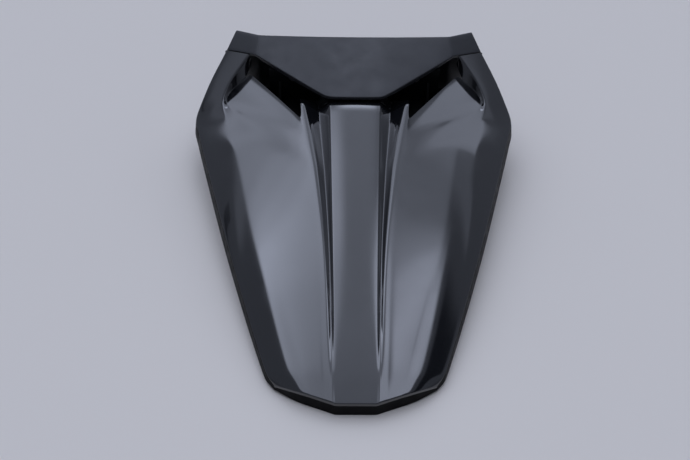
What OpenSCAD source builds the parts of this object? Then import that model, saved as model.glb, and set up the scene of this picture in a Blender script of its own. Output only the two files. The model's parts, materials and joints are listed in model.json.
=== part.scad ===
// Pillion seat cowl for a motorbike: a gloss shell with two scoops and a raised spine, a matte
// front trim, and a ribbed base with its latch striker, hooks, rubber dampers and screws.
// x is across, s is the distance forward from the tail edge, z is the height above the ground
// that the cowl lies on, in millimetres. The finished part has y = 0 at the middle of its length.

/* [Cowl] */
// Length from the tail edge to the front corners
cowl_l = 313; // [300:1:330]
// Width across the lower edges at the shoulders
cowl_w = 253; // [240:1:266]
// Height of the front crest at its middle
cowl_h = 88; // [84:0.5:94]
// Distance of the shoulders behind the front corners
shoulder_back = 66; // [61:1:71]
// Rise of the lower edge towards the front, in degrees
base_rise = 6.25; // [5.5:0.25:7]
// Height of the side walls
side_h = 11; // [10:0.5:13]
// Draft of the side walls, in degrees
draft = 8; // [5:0.5:11]
// Wall of the gloss shell
shell_t = 2.6; // [2:0.1:3]

/* [Tail] */
// Width of the rim across the tail corners
tail_w = 106; // [98:1:114]
// Width of the flat middle of the tail
tail_flat_w = 26.6; // [22:0.2:30]
// Height of the tail wall
tail_h = 11.5; // [10.5:0.5:13]
// How far the tail corners lie ahead of the tail edge
tail_sweep = 13.3; // [10:0.1:16]

/* [Rim] */
// Width of the rim facet near the tail
rim_w_tail = 13.3; // [11:0.1:16]
// Width of the rim facet at mid length
rim_w_mid = 14.7; // [12:0.1:18]
// Width of the rim facet at the shoulders
rim_w_shoulder = 22.5; // [19.5:0.5:25.5]
// Slope of the rim facet across, in degrees
facet_slope = 29; // [25:0.5:32]
// Climb of the rim facet ahead of the shoulders, in degrees
facet_climb = 19.8; // [17.5:0.1:21.5]
// Width across the rim where the trim begins
joint_w = 205.4; // [198:0.2:212]
// Distance of that joint behind the front corners, at the rim's outer edge
joint_back = 15.8; // [13:0.1:19]

/* [Spine and grooves] */
// Width of the spine at its front
spine_w = 37.4; // [32:0.2:42]
// Rise of the spine, in degrees
spine_rise = 15; // [14.4:0.1:15.6]
// Crown of the spine's top
spine_crown = 0.8; // [0.2:0.1:1.5]
// Width of a groove at the front
groove_w = 19.8; // [16:0.2:22]
// Width of a groove at mid length
groove_w_mid = 5.6; // [4.6:0.2:8]
// Width of a groove at the tail
groove_w_tail = 2.8; // [2:0.2:4]
// Depth of a groove at the front
groove_d = 13; // [9:0.5:15]

/* [Scoops] */
// Distance between the outer corners of the two scoop edges
scoop_w = 165; // [158:1:170]
// Distance of those corners behind the front corners
scoop_back = 34.6; // [33:0.2:38]
// Depth of those corners below the plane of the rim
scoop_drop = 15; // [12:0.5:18]
// Distance of the scoops' inner corners behind the front corners
scoop_in_back = 98.2; // [94:0.2:105]
// Width of the flange between a scoop and its groove
flange_w = 3.6; // [3:0.1:4.5]
// Crown of the two panels, as a share of their width
panel_crown = 0.024; // [0.01:0.002:0.05]

/* [Trim] */
// Wall of the trim
trim_t = 2.6; // [2.2:0.1:3.2]
// Gap between the trim and the shell
trim_gap = 0.7; // [0.5:0.1:0.9]
// Width of the trim's flat lower edge over the spine
trim_flat_w = 42; // [38:0.5:46]
// Distance of that edge behind the front corners
trim_back = 85; // [81:0.5:88]
// Height of the trim's lip
lip_h = 2.6; // [2.2:0.1:3.4]
// How far the crest's middle lies behind the front corners
crest_sag = 22.5; // [18:0.5:26]
// Width of the trim between its two creases
trim_top_w = 150.8; // [144:0.4:156]
// Height of the front apron's lower edge above the shell's, at its middle
apron_h = 11.5; // [11:0.5:16]

/* [Base] */
// Thickness of the base plate
plate_t = 3; // [2.4:0.2:3.6]
// Height of the base's skirt
skirt_h = 7; // [6:0.5:7.5]
// Thickness of the skirt and of the front wall
skirt_t = 2.4; // [2:0.1:3]
// Thickness of the ribs
rib_t = 1.8; // [1.4:0.1:2.4]
// Distance between ribs
rib_pitch = 30; // [26:1:40]
// Gap between the skirt and the shell
base_gap = 0.6; // [0.4:0.1:1]
// Distance of the base's front wall behind the front corners
base_end_back = 36; // [34:0.5:39]

/* [Latch striker] */
// Diameter of the striker's bar
bar_d = 8; // [7:0.5:9]
// Distance between the striker's legs, centre to centre
bar_w = 34; // [30:1:40]
// Clearance between the bar and the ground
bar_clear = 2.7; // [1:0.1:5]
// Distance of the striker behind the front corners
striker_back = 87; // [81:1:93]
// Length of the striker's plate
strike_l = 72; // [70:1:80]
// Width of the striker's plate
strike_w = 26; // [22:1:32]
// Thickness of the striker's plate
strike_t = 2.5; // [2:0.1:3]
// Thread diameter of the striker's bolts
bolt_d = 5; // [4:0.5:6]

/* [Hooks and dampers] */
// Distance between the two rear hooks
hook_gap = 44; // [36:1:56]
// Width of a rear hook
hook_w = 16; // [12:1:20]
// Distance of the hooks from the tail edge
hook_s = 78; // [74:1:90]
// Reach of a hook
hook_l = 15; // [12:0.5:18]
// Thickness of a hook
hook_t = 3.2; // [2.6:0.2:3.8]
// Distance between the two front dampers
foot_gap = 124; // [110:2:136]
// Distance of the front dampers behind the front corners
foot_back = 57; // [51:1:63]
// Diameter of the dampers
foot_d = 18; // [14:0.5:22]
// Height of the front dampers
foot_h = 10; // [8:0.5:13]
// Distance of the rear dampers from the tail edge
pad_s = 46; // [42:1:52]
// Distance between the two rear dampers
pad_gap = 60; // [50:1:70]
// Height of the rear dampers
pad_h = 3; // [2:0.2:3.6]

/* [Screws] */
// Thread diameter of the self-tapping screws
screw_d = 4; // [3:0.5:4.5]
// Diameter of the screws' heads
head_d = 8; // [7:0.5:9]
// Height of the screws' heads
head_h = 2.4; // [1.8:0.1:3]
// Diameter of the bosses
boss_d = 8.4; // [7.5:0.1:9]
// Length of thread in a boss
bite = 9; // [7:0.5:12]

/* [Hidden] */
$fn = 48;

// Small helpers
function unit(v) = v / max(norm(v), 0.000001);
function mix(a, b, t) = a * (1 - t) + b * t;
function share(a, b, x) = min(1, max(0, (x - a) / (b - a)));
function ease(t) = t * t * (3 - 2 * t);
function sum(v, i = 0) = i == len(v) - 1 ? v[i] : v[i] + sum(v, i + 1);
function flip(p) = [-p[0], p[1], p[2]];

// Smooth curve through the knots k, where t counts the knots
function heading(k, i) =
    i == 0 ? unit(k[1] - k[0]) :
    i == len(k) - 1 ? unit(k[i] - k[i - 1]) :
    unit(k[i + 1] - k[i - 1]);
function along(k, t) =
    let (i = min(floor(t), len(k) - 2), f = t - i, h = norm(k[i + 1] - k[i]))
    k[i] * (2 * f ^ 3 - 3 * f ^ 2 + 1) + heading(k, i) * h * (f ^ 3 - 2 * f ^ 2 + f) +
    k[i + 1] * (3 * f ^ 2 - 2 * f ^ 3) + heading(k, i + 1) * h * (f ^ 3 - f ^ 2);

// Distances from the tail edge of what is placed from the front corners
shoulder_s = cowl_l - shoulder_back;
joint_s = cowl_l - joint_back;
scoop_s = cowl_l - scoop_back;
scoop_in_s = cowl_l - scoop_in_back;
trim_s = cowl_l - trim_back;
base_end_s = cowl_l - base_end_back;
striker_s = cowl_l - striker_back;
foot_s = cowl_l - foot_back;

// Heights: the lower edge, the spine's edge and the plane of the rim facet at the front
function base_z(s) = max(0, s) * tan(base_rise);
function spine_z(s) = tail_h + s * tan(spine_rise);
rim_half = cowl_w / 2 - side_h * tan(draft);
function facet_z(x, s) = base_z(shoulder_s) + side_h +
    (rim_half - x) * tan(facet_slope) + (s - shoulder_s) * tan(facet_climb);
scoop_h = facet_z(scoop_w / 2, scoop_s) - scoop_drop;

// Half width of the rim's outer edge on its straight side, which bulges a little
side_bulge = 1.6;
bend = 15;
corner_run = 9;
corner_out = 5.6;
bend_in = 3.6;
straight_s = tail_sweep + corner_run;
function rim_x(s) = let (f = share(straight_s, shoulder_s - bend, s))
    mix(tail_w / 2 + corner_out, rim_half - bend_in, f) + side_bulge * 4 * f * (1 - f);

// Tail crest, which runs flat across the middle and sweeps forward to the corners
crest_s = tail_h * tan(draft / 2);
knee_x = tail_w / 2 - rim_w_tail;
knee_s = tail_sweep * 0.78;
function tail_s(x) = x < tail_flat_w / 2 ? crest_s :
    x < knee_x ? mix(crest_s, knee_s, share(tail_flat_w / 2, knee_x, x)) :
    mix(knee_s, tail_sweep, share(knee_x, tail_w / 2, x));

// Widths and depths along the spine and its grooves
groove_start_s = trim_s * 0.09;
groove_deep_s = trim_s * 0.48;
groove_mid_s = trim_s * 0.614;
groove_turn = 16;
function soft(x) = (x + sqrt(x * x + groove_turn ^ 2)) / 2;
function lean_w(s) = groove_w_tail + (groove_w_mid - groove_w_tail) * s / groove_mid_s;
function groove_x(s) = lean_w(s) + (groove_w - lean_w(trim_s)) *
    soft(s - groove_mid_s) / soft(trim_s - groove_mid_s);
function spine_x(s) = mix(tail_flat_w / 2, spine_w / 2, s / trim_s);
function depth(s) = groove_d * groove_x(s) / groove_w *
    ease(share(groove_start_s, groove_deep_s, s));

// Under the trim the spine and grooves step down into a tab that carries the trim
tab_drop = 8;
tab_l = 18;
tab_step = 6;
tab_end_s = trim_s + tab_l;
ridge_dip = 3.2;
function step(s) = tab_drop * ease(share(trim_s, trim_s + tab_step, s));
function ridge_z(s) = spine_z(s) - ridge_dip * share(0, trim_s, s) ^ 1.5 - step(s);

// Rails of the shell, as knots at the tail, the end of the tail corner, two places along the
// straight side, before, at and after the shoulder's bend, the scoop's edge and the trim's joint
mid_s = shoulder_s * 0.47;
late_s = shoulder_s * 0.83;
edge_t = 7;
function side_z(s) = base_z(s) + side_h;
rim_rail = [
    [tail_w / 2, tail_sweep, side_z(tail_sweep)],
    [rim_x(straight_s), straight_s, side_z(straight_s)],
    [rim_x(mid_s), mid_s, side_z(mid_s)],
    [rim_x(late_s), late_s, side_z(late_s)],
    [rim_half - bend_in, shoulder_s - bend, side_z(shoulder_s - bend)],
    [rim_half, shoulder_s, side_z(shoulder_s)],
    for (f = [0.32, 0.63, 1]) let (
        s = mix(shoulder_s, joint_s, f), x = mix(rim_half, joint_w / 2, f) + 10 * f * (1 - f))
        [x, s, facet_z(x, s)]
];
inlet_run = 13.8;
bend_run = 5;
inlet_s = joint_s - inlet_run;
function crease_at(x, w, s, lift) = [x - w, s, side_z(s) + w * tan(facet_slope) * lift];
crease_rail = [
    [knee_x, knee_s, tail_h + 0.4],
    crease_at(rim_x(straight_s), rim_w_tail, straight_s, 0.4),
    crease_at(rim_x(mid_s), rim_w_mid, mid_s, 1),
    crease_at(rim_x(late_s), rim_w_shoulder, late_s, 1),
    for (p = [[rim_half - rim_w_shoulder - 3.4, shoulder_s - 11],
              [rim_half - rim_w_shoulder, shoulder_s + bend_run]])
        [p[0], p[1], facet_z(p[0], p[1])],
    for (f = [0.46, 0.83, 1]) let (
        s = mix(shoulder_s + bend_run, inlet_s, f),
        x = mix(rim_half - rim_w_shoulder, scoop_w / 2, f) + 16 * f * (1 - f))
        [x, s, facet_z(x, s)]
];
// Outer edge of the panel, inboard of the crease's soft roll, then the foot of the inner wall
roll = 13;
panel_out_rail = [
    [knee_x - roll * 0.8, tail_s(knee_x - roll * 0.8), tail_h + 0.4],
    crease_rail[1] + [-roll * 0.8, -1, 0.9],
    crease_rail[2] + [-roll, 0, 3.6],
    crease_rail[3] + [-roll, 0, 5],
    crease_rail[4] + [-roll * 0.75, -2, 3],
    [crease_rail[5][0] - 2.6, crease_rail[5][1] + 1.5, scoop_h - 5.4],
    [crease_rail[6][0] - 1.6, crease_rail[6][1] + 0.5, scoop_h - 4],
    [crease_rail[7][0] - 0.8, scoop_s - 2.8, scoop_h - 1.5],
    crease_rail[8] + [-1, 0.2, -8]
];
// Inner columns from the panel's inner edge to the middle, at a distance s from the tail edge
ridge_foot = 0.74;
spine_foot = 0.42;
flange_end = 2.4;
function on_crest(x) = [x, tail_s(x), tail_h + 0.3];
function top_z(s) = s == 0 ? tail_h : spine_z(s) - step(s);
function groove_at(s, f) = [spine_x(s) + groove_x(s) * f, s,
    mix(ridge_z(s), top_z(s), 0.35) - depth(s)];
function inner_columns(s) = let (
    w = mix(flange_w, flange_end, share(scoop_in_s, tab_end_s, s)), ridge_x = spine_x(s) + groove_x(s))
    [s == 0 ? on_crest(ridge_x + w) : [ridge_x + w, s, ridge_z(s) - w * 0.14],
     s == 0 ? on_crest(ridge_x) : [ridge_x, s, ridge_z(s)],
     for (f = [ridge_foot, spine_foot]) s == 0 ? on_crest(spine_x(0) + groove_x(0) * f) : groove_at(s, f),
     [spine_x(s), max(s, crest_s), top_z(s)],
     [0, max(s, crest_s), top_z(s) + spine_crown * share(0, mid_s, s)]];
function turned(net) = [for (j = [0:len(net[0]) - 1]) [for (row = net) row[j]]];
inner_at = [0.5, 0.8, 0.89, 0.94, 0.973, 1];
inner_rails = turned([for (s = [0, straight_s, for (f = inner_at) scoop_in_s * f]) inner_columns(s)]);
panel_in_rail = inner_rails[0];
// Ahead of the scoop's edge the rows lie where the tab steps down
tab_rows = [scoop_in_s, trim_s, trim_s + tab_step / 2, trim_s + tab_step, tab_end_s];
function inner_row(t) = t > edge_t ?
    inner_columns(lookup(t, [for (i = [0:4]) [edge_t + i / 4, tab_rows[i]]])) :
    [for (rail = inner_rails) along(rail, t)];

// Panels: crowned between their two rails, with the scoop's edge cut back to its outer corner
panel_u = [0.13, 0.34, 0.56, 0.78];
function scoop_edge(u) = u < panel_u[0] ?
    mix(panel_out_rail[edge_t], [scoop_w / 2, scoop_s, scoop_h], u / panel_u[0]) :
    mix([scoop_w / 2, scoop_s, scoop_h], panel_in_rail[edge_t],
        (u - panel_u[0]) / (1 - panel_u[0]));
function panel(t, u) = let (
    f = min(t, edge_t), a = along(panel_out_rail, f), b = along(panel_in_rail, f),
    cut = scoop_edge(u) - mix(panel_out_rail[edge_t], panel_in_rail[edge_t], u),
    bow = panel_crown * norm(a - b) * 4 * u * (1 - u) * ease(share(0, 1, t)))
    mix(a, b, u) + cut * ease(share(4, edge_t, f)) + [0, t - f, bow];

// Lower edge of the outer walls, drafted outwards from the point above it
function below(p, out) = let (h = p[2] - base_z(p[1])) [
    p[0] + out[0] * h * tan(draft), p[1] + out[1] * h * tan(draft / 2), base_z(p[1])];

// Rows of the shell from the tail's lower edge forward, each from the right wall to the middle
steps = [1, 5, 5, 2, 2, 2, 2, 4];
rows = [for (i = [0:7]) for (j = [0:steps[i] - 1]) i + j / steps[i], 8];
function half_row(t) = let (rim = along(rim_rail, t)) [
    below(rim, t == 0 ? [0.9, 0.3] : [1, 0]), rim, along(crease_rail, t), along(panel_out_rail, t),
    for (u = panel_u) panel(t, u), each inner_row(t)];
function drop(p) = let (s = p[1] - (p[2] - base_z(p[1])) * tan(draft / 2)) [p[0], s, base_z(s)];
function mirrored(h) = [for (i = [0:len(h) - 1]) flip(h[i]), for (i = [len(h) - 2:-1:0]) h[i]];
edge_row = 1 + sum([for (i = [0:edge_t - 1]) steps[i]]);
panel_column = 3;
scoop_hole = [edge_row, panel_column, panel_column + len(panel_u) + 1];
tail_r = 0.8;
shell_tail = half_row(0);
shell_net = [
    mirrored([below(shell_tail[1], [0.7, -0.9]),
        for (k = [1:len(shell_tail) - 1]) drop(shell_tail[k])]),
    for (t = rows) mirrored(half_row(t))
];

// Moulded wall: a net of points over the outer face becomes a closed solid of even thickness.
// Corners of the net are rounded by the radii in round_c (across) and round_r (along).
// hole = [row, first column, last column] leaves the net open there on both sides.
function cell_open(hole, n, r, c) = len(hole) == 3 && r > hole[0] &&
    min(c, n - c) > hole[1] && min(c, n - c) < hole[2];
function face_at(net, i, j, di, dj) =
    unit(cross(net[i][j + dj] - net[i][j], net[i + di][j] - net[i][j]) * di * dj);
function faces_at(net, hole, i, j) = [for (di = [-1, 1]) for (dj = [-1, 1])
    if (i + di >= 0 && i + di < len(net) && j + dj >= 0 && j + dj < len(net[0]))
    if (!cell_open(hole, len(net[0]) - 1, i + di / 2, j + dj / 2)) face_at(net, i, j, di, dj)];
function solve(a, b, c, r) =
    (cross(b, c) * r[0] + cross(c, a) * r[1] + cross(a, b) * r[2]) / (a * cross(b, c));
// Step from a net point to the inner face, which lies one wall below every face that meets there
function inward(n, wall) = len(n) == 0 ? [0, 0, -wall] : let (e = 0.03, r = sum(n) * -wall)
    solve([for (k = [0:2]) sum([for (v = n) v[0] * v[k]]) + (k == 0 ? e : 0)],
          [for (k = [0:2]) sum([for (v = n) v[1] * v[k]]) + (k == 1 ? e : 0)],
          [for (k = [0:2]) sum([for (v = n) v[2] * v[k]]) + (k == 2 ? e : 0)], r);
function inner_net(net, hole, wall, rim_rows) = [for (i = [0:len(net) - 1])
    [for (j = [0:len(net[0]) - 1]) let (p = net[i][j], q = p + inward(faces_at(net, hole, i, j), wall))
        j == 0 || j == len(net[0]) - 1 || len(search(i, rim_rows)) > 0 ? [q[0], q[1], p[2]] : q]];
function rounded(a, b, c, r) = let (
    p = b + unit(a - b) * min(r, norm(a - b) / 2.2), q = b + unit(c - b) * min(r, norm(c - b) / 2.2))
    [p, (p + 2 * b + q) / 4, q];
function round_list(v, radii) = [for (k = [0:len(v) - 1])
    each radii[k] > 0 && k > 0 && k < len(v) - 1 ? rounded(v[k - 1], v[k], v[k + 1], radii[k]) : [v[k]]];
function places(radii) = [for (k = [0:len(radii) - 1])
    each radii[k] > 0 && k > 0 && k < len(radii) - 1 ? [k - 0.3, k, k + 0.3] : [k]];
function fine_net(net, round_c, round_r) =
    turned([for (line = turned([for (i = [0:len(net) - 1]) round_list(net[i], round_c[i])]))
        round_list(line, round_r)]);
module moulding(net, wall, round_c, round_r, hole = [], rim_rows = [0]) {
    top = fine_net(net, round_c, round_r);
    low = fine_net(inner_net(net, hole, wall, rim_rows), round_c, round_r);
    rows = len(top);
    cols = len(top[0]);
    pr = places(round_r);
    pc = places(round_c[0]);
    last = len(net[0]) - 1;
    function solid(i, j) = i >= 0 && j >= 0 && i < rows - 1 && j < cols - 1 &&
        !cell_open(hole, last, (pr[i] + pr[i + 1]) / 2, (pc[j] + pc[j + 1]) / 2);
    function at(i, j) = i * cols + j;
    below = rows * cols;
    function edge(p, q) = [[q, p, p + below], [q, p + below, q + below]];
    polyhedron(
        points = [for (row = top) each row, for (row = low) each row],
        faces = [for (i = [0:rows - 2]) for (j = [0:cols - 2]) if (solid(i, j)) let (
            a = at(i, j), b = at(i, j + 1), c = at(i + 1, j + 1), d = at(i + 1, j)) each [
                [a, d, c], [a, c, b],
                [a + below, b + below, c + below], [a + below, c + below, d + below],
                if (!solid(i, j - 1)) each edge(a, d),
                if (!solid(i + 1, j)) each edge(d, c),
                if (!solid(i, j + 1)) each edge(c, b),
                if (!solid(i - 1, j)) each edge(b, a)]],
        convexity = 12);
}

// Radii of the shell's edges across each row, soft on the crease behind the shoulders
edge_r = 1.2;
crease_r = 6;
function shell_radii(t) = let (soft_r = mix(crease_r, edge_r, ease(share(3.2, 5, t))),
    h = [0, edge_r, soft_r, 0, 0, 0, 0, 0, 0, 1.6, 0, 0, edge_r, 0])
    [for (r = h) r, for (i = [len(h) - 2:-1:0]) h[i]];

// Trim: a wide lid from its V-shaped lower edge to the crest, with a lip along the lower edge,
// an apron down the front and a cheek down each side
joint_in = crease_rail[8];
trim_low = spine_z(trim_s) + spine_crown + trim_gap + lip_h;
trim_in_x = joint_in[0] - 4.5;
crease_x = trim_top_w / 2;
trim_flat = trim_flat_w / 2;
vee = [trim_flat, trim_s, trim_low];
vee_end = [trim_in_x, joint_in[1] - 2.6, joint_in[2] + 1.6];
function crest(x) = let (f = x / crease_x)
    [x, cowl_l - crest_sag + 6.5 * f ^ 2, cowl_h - 4.2 * f ^ 2];
corner_x = joint_w / 2 - (cowl_l - joint_s) * 0.49;
front_corner = [corner_x, cowl_l, facet_z(corner_x, cowl_l)];
trim_f = [0.35, 0.7];
low_row = [
    [joint_w / 2 - 0.2, joint_s + trim_gap, facet_z(joint_w / 2, joint_s + trim_gap)],
    vee_end, mix(vee_end, vee, trim_f[0]), mix(vee_end, vee, trim_f[1]), vee, [0, trim_s, trim_low]];
high_row = [front_corner, crest(crease_x), crest(mix(crease_x, trim_flat, trim_f[0])),
    crest(mix(crease_x, trim_flat, trim_f[1])), crest(trim_flat), crest(0)];
lip_more = [1.9, 1.9, 1.8, 1.6, 1, 1];
lip_lean = [2.6, 4.6, 1.4, 1, 0.5, 0.5];
apron_lean = 3;
apron_z = base_z(cowl_l - crest_sag) + apron_h;
function apron_at(i) = let (p = high_row[i], f = ease(share(0, 4, i)), s = p[1] - apron_lean)
    [p[0], s, mix(base_z(s), apron_z, i == 0 ? 0 : mix(0.15, 1, f))];
function cheek(p) = below(p, [1, 0]);
trim_rows = [0, 0.33, 0.67, 1];
cheek_in = 4;
trim_net = [
    mirrored([cheek(low_row[0]) + [-cheek_in, 0.8, 0],
        for (i = [0:5]) low_row[i] + [0, lip_lean[i], -lip_h * lip_more[i]]]),
    for (f = trim_rows) let (r = [for (i = [0:5]) mix(low_row[i], high_row[i], f)])
        mirrored([cheek(r[0]), each r]),
    mirrored([cheek(high_row[0]) + [-cheek_in, -apron_lean, -0.3], for (i = [0:5]) apron_at(i)])
];
module trim_skin() {
    round_c = [0, 1.2, 2.4, 0, 0, 5, 0, 5, 0, 0, 2.4, 1.2, 0];
    moulding(trim_net, trim_t, [for (r = trim_net) round_c], [0, 0.8, 0, 0, 3, 0], rim_rows = [0, 5]);
}

// Frame of the base, tilted with the shell's lower edge: v runs along it and w stands on it
module on_base() rotate([base_rise, 0, 0]) children();
function to_base(p) = [p[0], p[1] * cos(base_rise) + p[2] * sin(base_rise),
    p[2] * cos(base_rise) - p[1] * sin(base_rise)];
function down_to_v(s) = s / cos(base_rise);
skirt_low = 1;
plate_top = skirt_low + skirt_h;
plate_low = plate_top - plate_t;

// Outline of the base: the shell's lower edge, moved in by the wall, its draft and the gap, then
// an ear at each side and a front edge that keep clear of the trim
lower_edge = [[tail_flat_w / 2, 0], [knee_x, knee_s - crest_s],
    for (t = [0, 1, 2, 3, 4, 5, 6, 7, 7.6]) let (p = below(along(rim_rail, t), [1, 0])) [p[0], p[1]]];
ear_s = joint_s - 1;
ear_out_x = corner_x + 3;
ear_in_x = corner_x - 7;
apron_room = apron_lean + trim_t + 2.2;
function normal2(a, b) = let (d = unit(b - a)) [-d[1], d[0]];
function inset(line, d) = [for (i = [0:len(line) - 1]) let (
    a = i == 0 ? [-1, line[0][1]] : line[i - 1], b = line[min(i + 1, len(line) - 1)],
    m = normal2(a, line[i]), n = i == len(line) - 1 ? m : normal2(line[i], b))
    line[i] + (m + n) / (1 + m * n) * d];
shell_room = shell_t / cos(draft) + plate_top * tan(draft) + base_gap;
function plan(d) = [for (p = [
    for (p = inset(lower_edge, shell_room + d)) if (p[1] < ear_s - d - 4) p,
    [ear_out_x - d, ear_s - d], [ear_in_x - d * 0.5, ear_s - d],
    for (x = [crease_x, mix(crease_x, trim_flat, 0.5), trim_flat]) [x, crest(x)[1] - apron_room - d * 1.2]
    ]) [p[0], down_to_v(p[1])]];
module footprint(d = 0) {
    h = plan(d);
    polygon(concat(h, [for (i = [len(h) - 1:-1:0]) [-h[i][0], h[i][1]]]));
}

// Places of the screws that hold the shell: tail, middle and front, on both sides
screw_at = [[1.12, 0.45], [3.1, 0.3], [4.6, 0.16]];
function seat(k) = to_base(panel(screw_at[k][0], screw_at[k][1]));
steepest = 22;
function boss_top(k) = seat(k)[2] - boss_d / 2 * tan(steepest) - 0.3;
function bore_l(k) = min(bite, boss_top(k) - plate_top - 1);
pilot_d = screw_d * 0.8;
head_w = skirt_low + head_h + 0.9;
slack = 0.4;
seat_gap = 0.3;
module both_sides() {
    children();
    mirror([1, 0, 0]) children();
}
module at(p, w = 0) translate([p[0], p[1], w]) children();

// Screws that hold the trim: two up through the shell's tab, two through the base's front wall
tab_x = 8;
tab_s = (trim_s + tab_step + tab_end_s) / 2;
tab_z = top_z(tab_s) + spine_crown * (1 - tab_x / spine_x(tab_s));
tab_boss_l = trim_low + (tab_s - trim_s) * (cowl_h - trim_low) / (cowl_l - crest_sag - trim_s)
    - trim_t - tab_z + 0.4;
tab_bite = tab_boss_l - 0.6;
module tab_place() translate([tab_x, tab_s, tab_z]) rotate([spine_rise, 0, 0]) children();
module tab_screws() both_sides() tab_place() children();
apron_x = 48;
wall_w = 2 * (trim_in_x - 11);
wall_top = (vee_end[2] - lip_h * lip_more[1] - base_z(base_end_s)) / cos(base_rise) - 1;
apron_w = 33;
apron_boss_l = crest(apron_x)[1] - apron_lean * 0.6 - trim_t + 1 - base_end_s
    + apron_w * sin(base_rise) - seat_gap;
module apron_place() on_base() translate([apron_x, down_to_v(base_end_s), apron_w])
    rotate([-90, 0, 0]) children();
module apron_screws() both_sides() apron_place() children();

// Places and sizes on the base that several pieces share
pocket_n = ceil(cowl_w / 2 / rib_pitch);
pocket_m = floor(ear_s / rib_pitch);
striker_v = down_to_v(striker_s);
bolt_x = strike_l / 2 - 8;
bar_r = bar_d + 1;
bar_low = (bar_clear + bar_d / 2 - striker_v * sin(base_rise)) / cos(base_rise);
washer_t = 1;
hook_v = down_to_v(hook_s);
hook_way = 8;
hook_low = 0.6 - (hook_v - hook_l) * tan(base_rise);
pad_d = 14;
pad_stem = 5;
foot_stem = 6;
floor_t = 3;
socket_h = 3;

module cowl_shell() color([0.06, 0.06, 0.07]) translate([0, -cowl_l / 2, 0]) difference() {
    union() {
        moulding(shell_net, shell_t, [shell_radii(0), for (t = rows) shell_radii(t)],
            [0, tail_r, for (i = [1:len(rows) - 1]) 0], hole = scoop_hole);
        on_base() both_sides() for (k = [0:2]) at(seat(k), plate_top)
            cylinder(d = boss_d, h = boss_top(k) - plate_top);
    }
    on_base() both_sides() for (k = [0:2]) at(seat(k), plate_top - 1)
        cylinder(d = pilot_d, h = bore_l(k) + 1);
    tab_screws() translate([0, 0, -shell_t * 2]) cylinder(d = screw_d + slack, h = shell_t * 3);
}

module front_trim() color([0.14, 0.15, 0.17]) translate([0, -cowl_l / 2, 0]) difference() {
    union() {
        trim_skin();
        tab_screws() translate([0, 0, seat_gap]) cylinder(d = boss_d, h = tab_boss_l);
        apron_screws() translate([0, 0, seat_gap]) cylinder(d = boss_d, h = apron_boss_l);
    }
    tab_screws() cylinder(d = pilot_d, h = tab_bite);
    apron_screws() cylinder(d = pilot_d, h = bite + 1);
}

module screw(grip, deep) {
    rotate_extrude() polygon([[0, -head_h], [head_d * 0.32, -head_h], [head_d * 0.47, -head_h * 0.6],
        [head_d / 2, 0], [pilot_d / 2 - 0.05, 0], [pilot_d / 2 - 0.05, grip + deep - 1],
        [0, grip + deep]]);
}
module cross_screw(grip, deep) difference() {
    screw(grip, deep);
    for (a = [0, 90]) rotate(a) translate([-head_d * 0.28, -0.5, -head_h - 1])
        cube([head_d * 0.56, 1, 2]);
}
module side(n) mirror([n, 0, 0]) children();

module shell_screw(k, n) color("silver") translate([0, -cowl_l / 2, 0]) on_base() side(n)
    at(seat(k), head_w) cross_screw(plate_top - head_w, bore_l(k) - 0.5);
module tab_screw(n) color("silver") translate([0, -cowl_l / 2, 0]) side(n) tab_place()
    translate([0, 0, -shell_t - seat_gap / 2]) cross_screw(shell_t, tab_bite - 0.5);
module apron_screw(n) color("silver") translate([0, -cowl_l / 2, 0]) side(n) apron_place()
    translate([0, 0, -skirt_t]) cross_screw(skirt_t, bite);

module base_plate() color([0.09, 0.09, 0.1]) translate([0, -cowl_l / 2, 0]) difference() {
    union() {
        on_base() {
            difference() {
                translate([0, 0, skirt_low]) linear_extrude(skirt_h) footprint();
                pockets();
            }
            front_wall();
            both_sides() hook();
        }
        both_sides() leg();
    }
    on_base() both_sides() {
        for (k = [0:2]) at(seat(k)) {
            cylinder(d = head_d + 1.2, h = head_w);
            cylinder(d = screw_d + slack, h = plate_top + 1);
        }
        translate([pad_gap / 2, down_to_v(pad_s), 0]) cylinder(d = pad_stem, h = plate_top + 1);
        translate([bolt_x, striker_v, 0]) cylinder(d = bolt_d + slack, h = plate_top + 1);
    }
    apron_screws() translate([0, 0, -skirt_t - 1]) cylinder(d = screw_d + slack, h = skirt_t + 2);
    both_sides() translate([foot_gap / 2, foot_s, 0]) {
        translate([0, 0, foot_h - socket_h - 1]) cylinder(d = foot_d + slack, h = socket_h + 1);
        cylinder(d = foot_stem, h = foot_h + floor_t + 1);
        translate([0, 0, foot_h + floor_t]) cylinder(d = foot_d - 3, h = cowl_h);
    }
}
// Ribbed underside: square pockets, left solid under screws, pads and the striker
module pockets() difference() {
    intersection() {
        translate([0, 0, skirt_low - 1]) linear_extrude(plate_low - skirt_low + 1) footprint(skirt_t);
        union() {
            for (i = [-pocket_n:pocket_n - 1]) for (j = [0:pocket_m])
                translate([i * rib_pitch + rib_t / 2, j * rib_pitch + rib_t / 2, 0])
                    cube([rib_pitch - rib_t, rib_pitch - rib_t, plate_low]);
            both_sides() translate([hook_gap / 2 - hook_w / 2 - 1, hook_v - hook_l - hook_way, 0])
                cube([hook_w + 2, hook_l + hook_way, plate_low]);
        }
    }
    both_sides() {
        for (k = [0:2]) at(seat(k)) cylinder(d = head_d + 6, h = plate_low);
        translate([pad_gap / 2, down_to_v(pad_s), 0]) cylinder(d = pad_d + 3, h = plate_low);
    }
    translate([-strike_l / 2 - 3, striker_v - strike_w / 2 - 3, 0])
        cube([strike_l + 6, strike_w + 6, plate_low]);
}
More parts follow.
